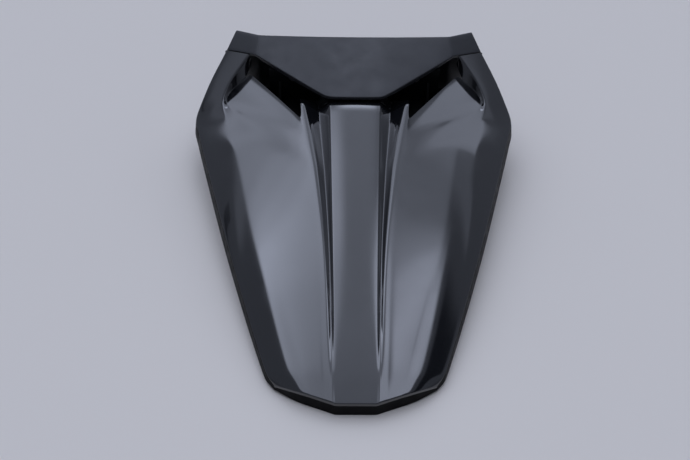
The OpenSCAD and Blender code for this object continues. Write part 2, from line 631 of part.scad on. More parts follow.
module front_wall() {
    v = down_to_v(base_end_s) - skirt_t;
    translate([-wall_w / 2, v, plate_low]) cube([wall_w, skirt_t, wall_top - plate_low]);
    for (x = [-wall_w / 2 + 8, -18, 18, wall_w / 2 - 8]) translate([x - rib_t / 2, v + 0.5, plate_low + 1])
        rotate([90, 0, 90]) linear_extrude(rib_t) polygon([[0, 0], [-14, 0], [0, wall_top * 0.55]]);
}
module hook() translate([hook_gap / 2 - hook_w / 2, 0, 0]) rotate([90, 0, 90]) linear_extrude(hook_w)
    polygon([[hook_v - hook_l, hook_low + 1], [hook_v - hook_l + 1.5, hook_low],
        [hook_v + hook_t, hook_low], [hook_v + hook_t * 3, plate_low + 1], [hook_v, plate_low + 1],
        [hook_v, hook_low + hook_t], [hook_v - hook_l, hook_low + hook_t]]);
module leg() translate([foot_gap / 2, foot_s, foot_h - socket_h])
    cylinder(d1 = foot_d + 4, d2 = foot_d + 5, h = base_z(foot_s) + plate_low - foot_h + socket_h + 1.5);

module front_damper(n) color([0.05, 0.05, 0.05]) translate([0, -cowl_l / 2, 0]) side(n)
    translate([foot_gap / 2, foot_s, 0]) damper(foot_d, foot_h, foot_stem, floor_t);
module rear_damper(n) color([0.05, 0.05, 0.05]) translate([0, -cowl_l / 2, 0]) on_base() side(n)
    translate([pad_gap / 2, down_to_v(pad_s), skirt_low - pad_h])
        damper(pad_d, pad_h, pad_stem, skirt_h);
// Rubber buffer whose stem is pulled through a hole and holds by its bulb
module damper(d, h, stem, grip) rotate_extrude() polygon([[0, 0], [d / 2 - 0.8, 0], [d / 2, 0.8],
    [d / 2, h], [stem / 2 - 0.1, h], [stem / 2 - 0.1, h + grip + 0.1], [stem / 2 + 1, h + grip + 0.4],
    [stem / 2 - 0.4, h + grip + 4], [0, h + grip + 4]]);

module striker_plate() color("silver") translate([0, -cowl_l / 2, 0]) on_base()
    translate([0, striker_v, skirt_low - strike_t]) difference() {
        linear_extrude(strike_t) {
            square([strike_l - 8, strike_w], center = true);
            square([strike_l, strike_w - 8], center = true);
            for (x = [-1, 1]) for (y = [-1, 1])
                translate([x * (strike_l / 2 - 4), y * (strike_w / 2 - 4)]) circle(4);
        }
        both_sides() translate([bolt_x, 0, -1]) cylinder(d = bolt_d + slack, h = strike_t + 2);
    }
module striker_bar() color("silver") translate([0, -cowl_l / 2, 0]) on_base()
    translate([0, striker_v, 0]) {
        both_sides() {
            translate([bar_w / 2, 0, bar_low + bar_r])
                cylinder(d = bar_d, h = skirt_low - strike_t - bar_low - bar_r);
            translate([bar_w / 2 - bar_r, 0, bar_low + bar_r]) rotate([90, 0, 0])
                rotate([0, 0, -90]) rotate_extrude(angle = 90) translate([bar_r, 0]) circle(d = bar_d);
        }
        translate([-bar_w / 2 + bar_r, 0, bar_low]) rotate([0, 90, 0])
            cylinder(d = bar_d, h = bar_w - 2 * bar_r);
    }
module striker_bolt(n) color("silver") translate([0, -cowl_l / 2, 0]) on_base() side(n)
    translate([bolt_x, striker_v, skirt_low - strike_t]) {
        rotate_extrude() polygon([[0, -bolt_d * 0.64], [bolt_d * 0.75, -bolt_d * 0.64],
            [bolt_d * 0.9, -bolt_d * 0.4], [bolt_d * 0.9, 0], [bolt_d / 2, 0],
            [bolt_d / 2, strike_t + skirt_h + bolt_d * 1.2 - 0.5],
            [bolt_d / 2 - 0.5, strike_t + skirt_h + bolt_d * 1.2], [0, strike_t + skirt_h + bolt_d * 1.2]]);
    }
module striker_washer(n) color("silver") translate([0, -cowl_l / 2, 0]) on_base() side(n)
    translate([bolt_x, striker_v, plate_top]) difference() {
        cylinder(d = bolt_d * 2, h = washer_t);
        translate([0, 0, -1]) cylinder(d = bolt_d + slack, h = washer_t + 2);
    }
module striker_nut(n) color("silver") translate([0, -cowl_l / 2, 0]) on_base() side(n)
    translate([bolt_x, striker_v, plate_top + washer_t]) difference() {
        cylinder(d = bolt_d * 1.85, h = bolt_d * 0.8, $fn = 6);
        translate([0, 0, -1]) cylinder(d = bolt_d + 0.1, h = bolt_d);
    }

cowl_shell();
front_trim();
base_plate();
striker_plate();
striker_bar();
striker_bolt(0);  // striker_bolt_right
striker_bolt(1);  // striker_bolt_left
striker_washer(0);  // striker_washer_right
striker_washer(1);  // striker_washer_left
striker_nut(0);  // striker_nut_right
striker_nut(1);  // striker_nut_left
front_damper(0);  // front_damper_right
front_damper(1);  // front_damper_left
rear_damper(0);  // rear_damper_right
rear_damper(1);  // rear_damper_left
shell_screw(0, 0);  // tail_screw_right
shell_screw(0, 1);  // tail_screw_left
shell_screw(1, 0);  // middle_screw_right
shell_screw(1, 1);  // middle_screw_left
shell_screw(2, 0);  // shoulder_screw_right
shell_screw(2, 1);  // shoulder_screw_left
tab_screw(0);  // tab_screw_right
tab_screw(1);  // tab_screw_left
apron_screw(0);  // apron_screw_right
apron_screw(1);  // apron_screw_left
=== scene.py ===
"""Looks of the seat cowl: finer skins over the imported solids, materials, lights and camera.

As in the part's source, x is across, s is the distance forward from the tail edge and z is the height, in
millimetres. Rows of the shell are counted by t, from 0 at the tail over the shoulder at 5 to the trim at 8.
"""
import json
import math

import bpy
import numpy as np
from mathutils import Matrix, Vector


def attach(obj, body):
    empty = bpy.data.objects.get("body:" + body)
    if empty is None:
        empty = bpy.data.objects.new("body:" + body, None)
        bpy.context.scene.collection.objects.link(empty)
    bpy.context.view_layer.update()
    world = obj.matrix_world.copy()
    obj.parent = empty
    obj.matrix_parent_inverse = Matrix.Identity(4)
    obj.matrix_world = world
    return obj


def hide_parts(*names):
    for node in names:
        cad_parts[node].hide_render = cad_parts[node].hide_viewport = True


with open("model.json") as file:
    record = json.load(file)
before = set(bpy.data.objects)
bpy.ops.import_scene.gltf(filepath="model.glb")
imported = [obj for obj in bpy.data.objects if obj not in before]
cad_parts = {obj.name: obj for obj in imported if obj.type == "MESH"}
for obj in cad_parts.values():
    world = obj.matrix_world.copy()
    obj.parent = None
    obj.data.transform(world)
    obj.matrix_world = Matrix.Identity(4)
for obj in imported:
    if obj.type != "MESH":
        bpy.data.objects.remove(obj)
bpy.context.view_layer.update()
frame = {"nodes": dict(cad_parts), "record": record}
nodes = frame["nodes"]
MM = 0.001

# Driving sizes of the cowl in millimetres, as in the part's source
COWL_L, COWL_W, COWL_H = 313, 253, 88
SHOULDER_S, BASE_RISE, SIDE_H, DRAFT, SHELL_T = 247, 6.25, 11, 8, 2.6
TAIL_W, TAIL_FLAT_W, TAIL_H, TAIL_SWEEP = 106, 26.6, 11.5, 13.3
RIM_W_TAIL, RIM_W_MID, RIM_W_SHOULDER = 13.3, 14.7, 22.5
FACET_SLOPE, FACET_CLIMB, JOINT_W, JOINT_S = 29, 19.8, 205.4, 297.2
SPINE_W, SPINE_RISE, SPINE_CROWN = 37.4, 15, 0.8
GROOVE_W, GROOVE_W_MID, GROOVE_W_TAIL = 19.8, 5.6, 2.8
SCOOP_W, SCOOP_S, SCOOP_DROP, SCOOP_IN_S, FLANGE_W, PANEL_CROWN = 165, 278.4, 15, 214.8, 3.6, 0.024
TRIM_T, TRIM_GAP, TRIM_FLAT_W, TRIM_S, LIP_H = 2.6, 0.7, 42, 228, 2.6
CREST_SAG, TRIM_TOP_W, APRON_H = 22.5, 150.8, 11.5


def at(*p):
    """A point or a step, as an array."""
    return np.array(p, float)


def tan(degrees):
    return math.tan(math.radians(degrees))


def unit(v):
    return v / max(np.linalg.norm(v), 1e-6)


def mix(a, b, t):
    return a * (1 - t) + b * t


def share(a, b, x):
    """How far x lies from a to b, held between 0 and 1."""
    return min(1.0, max(0.0, (x - a) / (b - a)))


def ease(t):
    return t * t * (3 - 2 * t)


def along(k, t):
    """Point of the smooth curve through the knots k, where t counts the knots."""
    def heading(i):
        if i == 0:
            return unit(k[1] - k[0])
        if i == len(k) - 1:
            return unit(k[i] - k[i - 1])
        return unit(k[i + 1] - k[i - 1])
    i = min(int(t), len(k) - 2)
    f = t - i
    h = np.linalg.norm(k[i + 1] - k[i])
    return (k[i] * (2 * f ** 3 - 3 * f ** 2 + 1) + heading(i) * h * (f ** 3 - 2 * f ** 2 + f)
            + k[i + 1] * (3 * f ** 2 - 2 * f ** 3) + heading(i + 1) * h * (f ** 3 - f ** 2))


# Heights and widths of the shell, as in the part's source
RIM_HALF = COWL_W / 2 - SIDE_H * tan(DRAFT)
SIDE_BULGE, BEND, CORNER_RUN, CORNER_OUT, BEND_IN = 1.6, 15, 9, 5.6, 3.6
STRAIGHT_S = TAIL_SWEEP + CORNER_RUN
CREST_S = TAIL_H * tan(DRAFT / 2)
KNEE_X = TAIL_W / 2 - RIM_W_TAIL
KNEE_S = TAIL_SWEEP * 0.78
GROOVE_START_S, GROOVE_DEEP_S, GROOVE_MID_S = (TRIM_S * f for f in (0.155, 0.48, 0.614))
GROOVE_TURN = 16
TAB_DROP, TAB_L, TAB_STEP, RIDGE_DIP = 8, 18, 6, 3.2
TAB_END_S = TRIM_S + TAB_L
MID_S, LATE_S, EDGE_T, BEND_RUN = SHOULDER_S * 0.47, SHOULDER_S * 0.83, 7, 5


def base_z(s):
    """Height of the lower edge."""
    return max(0.0, s) * tan(BASE_RISE)


def spine_z(s):
    """Height of the spine's edges."""
    return TAIL_H + s * tan(SPINE_RISE)


def facet_z(x, s):
    """Height of the rim facet ahead of the shoulders."""
    return (base_z(SHOULDER_S) + SIDE_H + (RIM_HALF - x) * tan(FACET_SLOPE)
            + (s - SHOULDER_S) * tan(FACET_CLIMB))


def on_facet(x, s):
    return at(x, s, facet_z(x, s))


SCOOP_H = facet_z(SCOOP_W / 2, SCOOP_S) - SCOOP_DROP


def rim_x(s):
    """Half width of the rim behind the shoulders."""
    f = share(STRAIGHT_S, SHOULDER_S - BEND, s)
    return mix(TAIL_W / 2 + CORNER_OUT, RIM_HALF - BEND_IN, f) + SIDE_BULGE * 4 * f * (1 - f)


def tail_s(x):
    """Where the tail's crest lies, which sweeps forward from its flat middle to the corners."""
    if x < TAIL_FLAT_W / 2:
        return CREST_S
    if x < KNEE_X:
        return mix(CREST_S, KNEE_S, share(TAIL_FLAT_W / 2, KNEE_X, x))
    return mix(KNEE_S, TAIL_SWEEP, share(KNEE_X, TAIL_W / 2, x))


def groove_x(s):
    """Width of a groove."""
    def lean(q):
        return GROOVE_W_TAIL + (GROOVE_W_MID - GROOVE_W_TAIL) * q / GROOVE_MID_S

    def soft(q):
        return (q + math.sqrt(q * q + GROOVE_TURN ** 2)) / 2
    return lean(s) + (GROOVE_W - lean(TRIM_S)) * soft(s - GROOVE_MID_S) / soft(TRIM_S - GROOVE_MID_S)


def spine_x(s):
    """Half width of the spine."""
    return mix(TAIL_FLAT_W / 2, SPINE_W / 2, s / TRIM_S)


# Depth of the grooves at the trim, how it grows with their width, and how the ridges beside them dip and
# how far they run under the trim
GROOVE_SHOWN, GROOVE_GROWTH, RIDGE_BOW, RIDGE_OVER = 8.3, 0.7, 1.5, 3


def depth(s):
    """Depth of the grooves."""
    return (GROOVE_SHOWN * (groove_x(s) / GROOVE_W) ** GROOVE_GROWTH
            * ease(share(GROOVE_START_S, GROOVE_DEEP_S, s)))


def step(s):
    """Fall of the spine and the grooves under the trim, down to the tab."""
    return TAB_DROP * ease(share(TRIM_S, TRIM_S + TAB_STEP, s))


def ridge_z(s):
    """Height of the ridge between a groove and its panel."""
    return spine_z(s) - RIDGE_DIP * share(0, TRIM_S, s) ** RIDGE_BOW - step(s - RIDGE_OVER)


def top_z(s):
    """Height of the spine with its step under the trim. At 0 it is the tail's crest."""
    return TAIL_H if s == 0 else spine_z(s) - step(s)


def side_z(s):
    """Height of the side walls' upper edge."""
    return base_z(s) + SIDE_H


# The tail's corners, knees and facets over the plain net, so that the rim facet keeps its slope
CORNER_FALL, FACET_FALL = at(0, 4.7, -6.5), at(0.3, 3.7, -4.6)
KNEE_FALL, CREASE_FALL = at(0, 0, -0.2), at(0.6, 2.2, -1.5)
# Places of the rim's knots from the shoulder to the joint, and its bow there
RIM_PLACES, RIM_BOW = (0.32, 0.63, 1), 10
# The crease: lift at the knee, slope of the facet at the tail, the knot before the shoulder's bend, and
# the knots along the inlet
KNEE_LIFT, TAIL_SLOPE, BEND_CREASE_X, BEND_CREASE_S = 0.4, 0.4, 3.4, 11
INLET_PLACES, INLET_BOW, INLET_RUN = (0.46, 0.83, 1), 16, 13.8
# Steps from the crease's knots 1 to 5 to the panel's outer edge, where it turns over a soft roll, and from
# the last knot to the foot of the scoop's outer wall
ROLL, PANEL_TAIL_LIFT = 13, 0.6
PANEL_STEPS = (at(-ROLL * 0.8, -1, 0.9), at(-ROLL, 0, 3.6), at(-ROLL, 0, 5), at(-ROLL * 0.75, -2, 2.4),
               at(-1.6, 3.2, -2.2))
WALL_FOOT = at(-1, 0.2, -8)
# The panel beside its scoop is a plane: its fall outwards, its climb forward, and the place of its corner
# over the source's. Knots 6 and 7 of its outer edge: step across from the crease, s, share of that lift
PANEL_LEAN, PANEL_CLIMB, SCOOP_LIFT = 0.35, 0.1145, at(0, -3, 3.4)
PANEL_FRONT = ((6, -0.5, 267.4, 0.3), (7, -1.2, 275, 0.9))


def shell_rails():
    """Knots of the rim, the crease and the panel's outer edge, from the tail to the trim's joint."""
    rim = [at(TAIL_W / 2, TAIL_SWEEP, side_z(TAIL_SWEEP)) + CORNER_FALL,
           at(rim_x(STRAIGHT_S), STRAIGHT_S, side_z(STRAIGHT_S)) + FACET_FALL]
    rim += [at(rim_x(s), s, side_z(s)) for s in (MID_S, LATE_S)]
    rim += [at(RIM_HALF - BEND_IN, SHOULDER_S - BEND, side_z(SHOULDER_S - BEND)),
            at(RIM_HALF, SHOULDER_S, side_z(SHOULDER_S))]
    for f in RIM_PLACES:
        s = mix(SHOULDER_S, JOINT_S, f)
        rim.append(on_facet(mix(RIM_HALF, JOINT_W / 2, f) + RIM_BOW * f * (1 - f), s))

    def crease_at(w, s, slope):
        return at(rim_x(s) - w, s, side_z(s) + w * tan(FACET_SLOPE) * slope)
    bend_x = RIM_HALF - RIM_W_SHOULDER
    crease = [at(KNEE_X, KNEE_S, TAIL_H + KNEE_LIFT) + KNEE_FALL,
              crease_at(RIM_W_TAIL, STRAIGHT_S, TAIL_SLOPE) + CREASE_FALL,
              crease_at(RIM_W_MID, MID_S, 1), crease_at(RIM_W_SHOULDER, LATE_S, 1),
              on_facet(bend_x - BEND_CREASE_X, SHOULDER_S - BEND_CREASE_S),
              on_facet(bend_x, SHOULDER_S + BEND_RUN)]
    for f in INLET_PLACES:
        s = mix(SHOULDER_S + BEND_RUN, JOINT_S - INLET_RUN, f)
        crease.append(on_facet(mix(bend_x, SCOOP_W / 2, f) + INLET_BOW * f * (1 - f), s))

    tail_x = KNEE_X - ROLL * 0.8
    out = [at(tail_x, tail_s(tail_x), TAIL_H + PANEL_TAIL_LIFT)]
    out += [crease[i + 1] + move for i, move in enumerate(PANEL_STEPS)]
    for i, dx, s, lift in PANEL_FRONT:
        x = crease[i][0] + dx
        z = SCOOP_H - (x - SCOOP_W / 2) * PANEL_LEAN + (s - SCOOP_S) * PANEL_CLIMB
        out.append(at(x, s, z) + SCOOP_LIFT * lift)
    out.append(crease[-1] + WALL_FOOT)
    return rim, crease, out


# Places of a groove's two foot lines across it, and the heights of its floor and of the ridge's foot
# between the two sides
RIDGE_FOOT, SPINE_FOOT, FLOOR_SHARE, FOOT_SHARE, CREST_LIFT = 0.74, 0.42, 0.35, 0.5, 0.3
# The ridge's flange: width at its end, lean at the tail and further forward, and fall under the trim
FLANGE_END, FLANGE_LEAN_TAIL, FLANGE_LEAN, FLANGE_HIDE = 0.3, 0.06, 0.14, 6


def inner_columns(s):
    """Points from the panel's inner edge to the middle, at a distance s from the tail edge."""
    def on_crest(x):
        return at(x, tail_s(x), TAIL_H + CREST_LIFT)
    w = mix(FLANGE_W, FLANGE_END, share(SCOOP_IN_S, TAB_END_S, s))
    ridge_x = spine_x(s) + groove_x(s)
    floor_z = mix(ridge_z(s), top_z(s), FLOOR_SHARE) - depth(s)
    edge_z = ridge_z(s) - FLANGE_HIDE * share(TRIM_S + RIDGE_OVER, TRIM_S + TAB_STEP, s)
    lean = mix(FLANGE_LEAN_TAIL, FLANGE_LEAN, share(0, MID_S, s))
    points = [on_crest(ridge_x + w), on_crest(ridge_x)] if s == 0 else [
        at(ridge_x + w, s, edge_z - w * lean), at(ridge_x, s, edge_z)]
    for f, z in ((RIDGE_FOOT, mix(floor_z, edge_z, FOOT_SHARE)), (SPINE_FOOT, floor_z)):
        x = spine_x(s) + groove_x(s) * f
        points.append(on_crest(x) if s == 0 else at(x, s, z))
    points.append(at(spine_x(s), max(s, CREST_S), top_z(s)))
    points.append(at(0, max(s, CREST_S), top_z(s) + SPINE_CROWN * share(0, MID_S, s)))
    return points


RIM, CREASE, PANEL_OUT = shell_rails()
INNER_AT = (0.5, 0.8, 0.89, 0.94, 0.973, 1)
INNER_S = (0, STRAIGHT_S, *(SCOOP_IN_S * f for f in INNER_AT))
INNER = [list(rail) for rail in zip(*[inner_columns(s) for s in INNER_S])]
PANEL_IN = INNER[0]
TAB_ROWS = (SCOOP_IN_S, TRIM_S, TRIM_S + TAB_STEP / 2, TRIM_S + TAB_STEP, TAB_END_S)
# Place of the scoop's corner across the panel, the row where its edge starts to show, and how much of the
# panel's bow is gone at that edge, from which row on
PANEL_CORNER, CUT_T, BOW_LOSS, BOW_T = 0.13, 4, 0.5, 4.5


def inner_row(t):
    """Inner points of row t. Ahead of the scoop's edge the rows lie where the tab steps down."""
    if t <= EDGE_T:
        return [along(rail, t) for rail in INNER]
    return inner_columns(float(np.interp(t, np.linspace(EDGE_T, EDGE_T + 1, len(TAB_ROWS)), TAB_ROWS)))


def panel(t, u):
    """Point of a panel, where u runs from its outer edge to its inner edge."""
    f = min(t, EDGE_T)
    a, b = along(PANEL_OUT, f), along(PANEL_IN, f)
    corner = at(SCOOP_W / 2, SCOOP_S, SCOOP_H) + SCOOP_LIFT
    if u < PANEL_CORNER:
        edge = mix(PANEL_OUT[EDGE_T], corner, u / PANEL_CORNER)
    else:
        edge = mix(corner, PANEL_IN[EDGE_T], (u - PANEL_CORNER) / (1 - PANEL_CORNER))
    cut = edge - mix(PANEL_OUT[EDGE_T], PANEL_IN[EDGE_T], u)
    bow = PANEL_CROWN * np.linalg.norm(a - b) * 4 * u * (1 - u) * ease(share(0, 1, t))
    bow *= 1 - BOW_LOSS * ease(share(BOW_T, EDGE_T, t))
    return mix(a, b, u) + cut * ease(share(CUT_T, EDGE_T, f)) + at(0, t - f, bow)


def below(p, out):
    """Point of the lower edge under p, drafted outwards."""
    h = p[2] - base_z(p[1])
    return at(p[0] + out[0] * h * tan(DRAFT), p[1] + out[1] * h * tan(DRAFT / 2), base_z(p[1]))


def drop(p):
    """Point of the tail's lower edge under p."""
    s = p[1] - (p[2] - base_z(p[1])) * tan(DRAFT / 2)
    return at(p[0], s, base_z(s))


def mirrored(half):
    """A row from the right wall to the middle, carried on to the left wall."""
    flip = at(-1, 1, 1)
    return [p * flip for p in half] + list(reversed(half[:-1]))


# Nets of the two mouldings. Rows run from the tail forward and columns across.
PANEL_U = (PANEL_CORNER, 0.22, 0.31, 0.4, 0.49, 0.58, 0.67, 0.76, 0.84, 0.92)
PANEL_COLUMN = 3
SHELL_STEPS = (3, 8, 8, 4, 3, 4, 4, 4)
# Radii of the edges, of the panel's foot before and after the bend, and of the ridge and the groove's floor
EDGE_R, CREASE_R, TAIL_R, RIDGE_R, FLOOR_R = 1.2, 6.0, 0.8, 1.6, 0.8
FOOT_R, FOOT_R_INLET = 3, 0.7
# Rows over which the crease turns crisp and the panel's foot turns tight
CRISP_T, TIGHT_T = (2.6, 4.4), (4, 5)
# Which way the walls' draft points, across and forward: at a side, a tail corner and the tail's lower edge
SIDE_OUT, CORNER_WALL_OUT, TAIL_WALL_OUT = (1, 0), (0.9, 0.3), (0.7, -0.9)


def half_row(t):
    """Net points of row t, from the right wall to the middle."""
    rim = along(RIM, t)
    wall = below(rim, CORNER_WALL_OUT if t == 0 else SIDE_OUT)
    return ([wall, rim, along(CREASE, t), along(PANEL_OUT, t)]
            + [panel(t, u) for u in PANEL_U] + inner_row(t))


def shell_radii(t):
    """Radii of the edges across a row, soft on the crease behind the shoulders."""
    soft = mix(CREASE_R, EDGE_R, ease(share(*CRISP_T, t)))
    foot = mix(FOOT_R, FOOT_R_INLET, ease(share(*TIGHT_T, t)))
    half = [0, EDGE_R, soft, foot] + [0] * len(PANEL_U) + [0, RIDGE_R, FLOOR_R, FLOOR_R, EDGE_R, 0]
    return half + half[-2::-1]


def shell_net():
    """Net of the shell, the radii across each row, those along the columns, and the scoops' hole."""
    rows = [i + j / n for i, n in enumerate(SHELL_STEPS) for j in range(n)] + [len(SHELL_STEPS)]
    tail = half_row(0)
    net = [mirrored([below(tail[1], TAIL_WALL_OUT)] + [drop(p) for p in tail[1:]])]
    net += [mirrored(half_row(t)) for t in rows]
    across = [shell_radii(0)] + [shell_radii(t) for t in rows]
    hole = (1 + sum(SHELL_STEPS[:EDGE_T]), PANEL_COLUMN, PANEL_COLUMN + len(PANEL_U) + 1)
    return net, across, [0, TAIL_R] + [0] * (len(rows) - 1), hole


# The trim: bow and fall of its crest, the slant of its corners, its lip and its apron
CREST_BOW, CREST_FALL, CORNER_SLANT = 7.8, 4.2, 0.49
VEE_END_STEP = at(-4.5, -2.6, 1.6)
TRIM_F, TRIM_ROWS = (0.35, 0.7), (0, 0.33, 0.67, 1)
LIP_MORE, LIP_LEAN = (1.9, 1.9, 1.8, 1.6, 1, 1), (2.6, 4.6, 1.4, 1, 0.5, 0.5)
APRON_LEAN, APRON_RUN = 3, (0.9, 4)
CHEEK_IN, JOINT_IN = 4, 0.2
CHEEK_LOW_STEP, CHEEK_HIGH_STEP = at(-CHEEK_IN, 0.8, 0), at(-CHEEK_IN, -APRON_LEAN, -0.3)
TRIM_ACROSS, TRIM_DOWN = [0, 1.2, 2.4, 0, 0, 5, 0, 5, 0, 0, 2.4, 1.2, 0], [0, 0.8, 0, 0, 2, 0]


def crest(x):
    """Point of the trim's crest, which is bowed."""
    f = x / (TRIM_TOP_W / 2)
    return at(x, COWL_L - CREST_SAG + CREST_BOW * f ** 2, COWL_H - CREST_FALL * f ** 2)


def trim_net():
    """Net of the trim from its lip over the lid to the apron, and its radii across and down."""
    low = spine_z(TRIM_S) + SPINE_CROWN + TRIM_GAP + LIP_H
    flat = TRIM_FLAT_W / 2
    crease_x = TRIM_TOP_W / 2
    vee = at(flat, TRIM_S, low)
    vee_end = CREASE[-1] + VEE_END_STEP
    joint = on_facet(JOINT_W / 2, JOINT_S + TRIM_GAP) - at(JOINT_IN, 0, 0)
    low_row = [joint, vee_end, *(mix(vee_end, vee, f) for f in TRIM_F), vee, at(0, TRIM_S, low)]
    high_row = [on_facet(JOINT_W / 2 - (COWL_L - JOINT_S) * CORNER_SLANT, COWL_L), crest(crease_x),
                *(crest(mix(crease_x, flat, f)) for f in TRIM_F), crest(flat), crest(0)]
    apron_z = base_z(COWL_L - CREST_SAG) + APRON_H

    def apron_at(i):
        p = high_row[i]
        s = p[1] - APRON_LEAN
        return at(p[0], s, mix(base_z(s), apron_z, ease(share(*APRON_RUN, i))))
    net = [mirrored([below(joint, SIDE_OUT) + CHEEK_LOW_STEP]
                    + [p + at(0, LIP_LEAN[i], -LIP_H * LIP_MORE[i]) for i, p in enumerate(low_row)])]
    for f in TRIM_ROWS:
        row = [mix(a, b, f) for a, b in zip(low_row, high_row)]
        net.append(mirrored([below(row[0], SIDE_OUT)] + row))
    net.append(mirrored([below(high_row[0], SIDE_OUT) + CHEEK_HIGH_STEP]
                        + [apron_at(i) for i in range(len(high_row))]))
    return net, [TRIM_ACROSS] * len(net), TRIM_DOWN


def cell_open(hole, n, r, c):
    """True where the net of n columns is left open at row r and column c."""
    c = min(c, n - c)
    return hole is not None and r > hole[0] and hole[1] < c < hole[2]


# Damping of the step to the inner face, how much of a net edge a rounding may take, and where a
# rounding's outer points count as columns or rows
DAMPING, EDGE_SHARE, ROUND_PLACE = 0.03, 2.2, 0.3


def inward(normals, wall):
    """Step from a net point to the inner face, one wall below every face that meets there."""
    if not normals:
        return at(0, 0, -wall)
    n = np.array(normals)
    return np.linalg.solve(n.T @ n + DAMPING * np.eye(3), -wall * n.sum(axis=0))


def inner_net(net, hole, wall, rim_rows):
    """Net of the inner face, level with the outer one along the side edges and the rim rows."""
    last = len(net[0]) - 1
    result = []
    for i, row in enumerate(net):
        line = []
        for j, p in enumerate(row):
            normals = []
            for di in (-1, 1):
                for dj in (-1, 1):
                    if not (0 <= i + di < len(net) and 0 <= j + dj <= last):
                        continue
                    if cell_open(hole, last, i + di / 2, j + dj / 2):
                        continue
                    normals.append(unit(np.cross(row[j + dj] - p, net[i + di][j] - p) * di * dj))
            q = p + inward(normals, wall)
            if j in (0, last) or i in rim_rows:
                q[2] = p[2]
            line.append(q)
        result.append(line)
    return result


def round_list(line, radii):
    """A line of net points with its corners rounded."""
    result = []
    for k, b in enumerate(line):
        if radii[k] <= 0 or k in (0, len(line) - 1):
            result.append(b)
            continue
        a, c = line[k - 1], line[k + 1]
        p, q = (b + unit(end - b) * min(radii[k], np.linalg.norm(end - b) / EDGE_SHARE) for end in (a, c))
        result += [p, (p + 2 * b + q) / 4, q]
    return result


def places(radii):
    """The net's row or column that each point of a rounded line stands for."""
    result = []
    for k, r in enumerate(radii):
        rounded = r > 0 and 0 < k < len(radii) - 1
        result += [k - ROUND_PLACE, k, k + ROUND_PLACE] if rounded else [k]
    return result


def fine_net(net, across, down):
    """The net with its edges rounded, along the rows first and then along the columns."""
    wide = [round_list(row, across[i]) for i, row in enumerate(net)]
    columns = [round_list(list(column), down) for column in zip(*wide)]
    return [list(row) for row in zip(*columns)]


def add_object(name, data):
    """A new object, linked into the scene."""
    result = bpy.data.objects.new(name, data)
    bpy.context.collection.objects.link(result)
    return result


# Rows at the tail and columns at the sides that belong to the low wall, whose faces take the painted shade,
# and the subdivision of a skin
TAIL_BAND, SIDE_BAND, SMOOTH_LEVELS = 0.7, 1, 2


def moulding(name, net, across, down, wall, hole=None, rim_rows=(0,), painted_shade_band=False):
    """Closed, subdivided shell of even wall over a net of points in millimetres.

    With the band flag set, the outer faces of the low wall take the piece's second material, a near-black
    satin that is painted shade on that wall.
    """
    top = fine_net(net, across, down)
    low = fine_net(inner_net(net, hole, wall, rim_rows), across, down)
    rows, cols = len(top), len(top[0])
    under = rows * cols
    at_row, at_col, last = places(down), places(across[0]), len(net[0]) - 1

    def solid(i, j):
        return (0 <= i < rows - 1 and 0 <= j < cols - 1
                and not cell_open(hole, last, sum(at_row[i:i + 2]) / 2, sum(at_col[j:j + 2]) / 2))
    faces, bands, rims = [], [], []
    for i in range(rows - 1):
        for j in range(cols - 1):
            if not solid(i, j):
                continue
            in_side = min(at_col[j], last - at_col[j + 1]) < SIDE_BAND
            # Faces of the low wall, which take the painted shade
            banded = painted_shade_band and (at_row[i] < TAIL_BAND or in_side)
            a, b, c, d = i * cols + j, i * cols + j + 1, (i + 1) * cols + j + 1, (i + 1) * cols + j
            faces += [(a, b, c, d), (a + under, d + under, c + under, b + under)]
            bands += [banded, False]
            for di, dj, p, q in ((0, -1, d, a), (1, 0, c, d), (0, 1, b, c), (-1, 0, a, b)):
                if not solid(i + di, j + dj):
                    faces.append((q, p, p + under, q + under))
                    bands.append(banded)
                    rims += [(p, q), (p + under, q + under)]
    points = [p for row in top + low for p in row]
    used = sorted({k for face in faces for k in face})
    index = {k: n for n, k in enumerate(used)}
    shift = at(0, -COWL_L / 2, 0)
    mesh = bpy.data.meshes.new(name)
    mesh.from_pydata([tuple((points[k] + shift) * MM) for k in used], [],
                     [tuple(index[k] for k in face) for face in faces])
    mesh.polygons.foreach_set("material_index", [int(banded) for banded in bands])
    sharp = {frozenset((index[p], index[q])) for p, q in rims}
    crease = mesh.attributes.new("crease_edge", "FLOAT", "EDGE")
    for edge in mesh.edges:
        edge.use_edge_sharp = frozenset(edge.vertices) in sharp
        crease.data[edge.index].value = 1.0 if edge.use_edge_sharp else 0.0
    mesh.shade_smooth()
    piece = add_object(name, mesh)
    smooth = piece.modifiers.new("Smooth", "SUBSURF")
    smooth.levels = smooth.render_levels = SMOOTH_LEVELS
    smooth.use_limit_surface = False
    return piece


# Materials

def material(name, colour, rough, **sockets):
    """A material whose shader has these values. A socket's name has underscores for its spaces."""
    m = bpy.data.materials.new(name)
    m.use_nodes = True
    shader = m.node_tree.nodes["Principled BSDF"]
    shader.inputs["Base Color"].default_value = (*colour, 1)
    shader.inputs["Roughness"].default_value = rough
    for key, value in sockets.items():
        shader.inputs[key.replace("_", " ")].default_value = value
    return m


def noise(m, scale, detail):
    """Noise over the object's own coordinates. Scale is in features per metre."""
    tree = m.node_tree
    place = tree.nodes.new("ShaderNodeTexCoord")
    texture = tree.nodes.new("ShaderNodeTexNoise")
    texture.inputs["Scale"].default_value = scale
    texture.inputs["Detail"].default_value = detail
    tree.links.new(place.outputs["Object"], texture.inputs["Vector"])
    return texture.outputs["Fac"]


# The span of a noise that counts, and the colour sockets of a mix node
NOISE_LOW, NOISE_HIGH = 0.3, 0.7
MIX_A, MIX_B, MIX_RESULT = 6, 7, 2


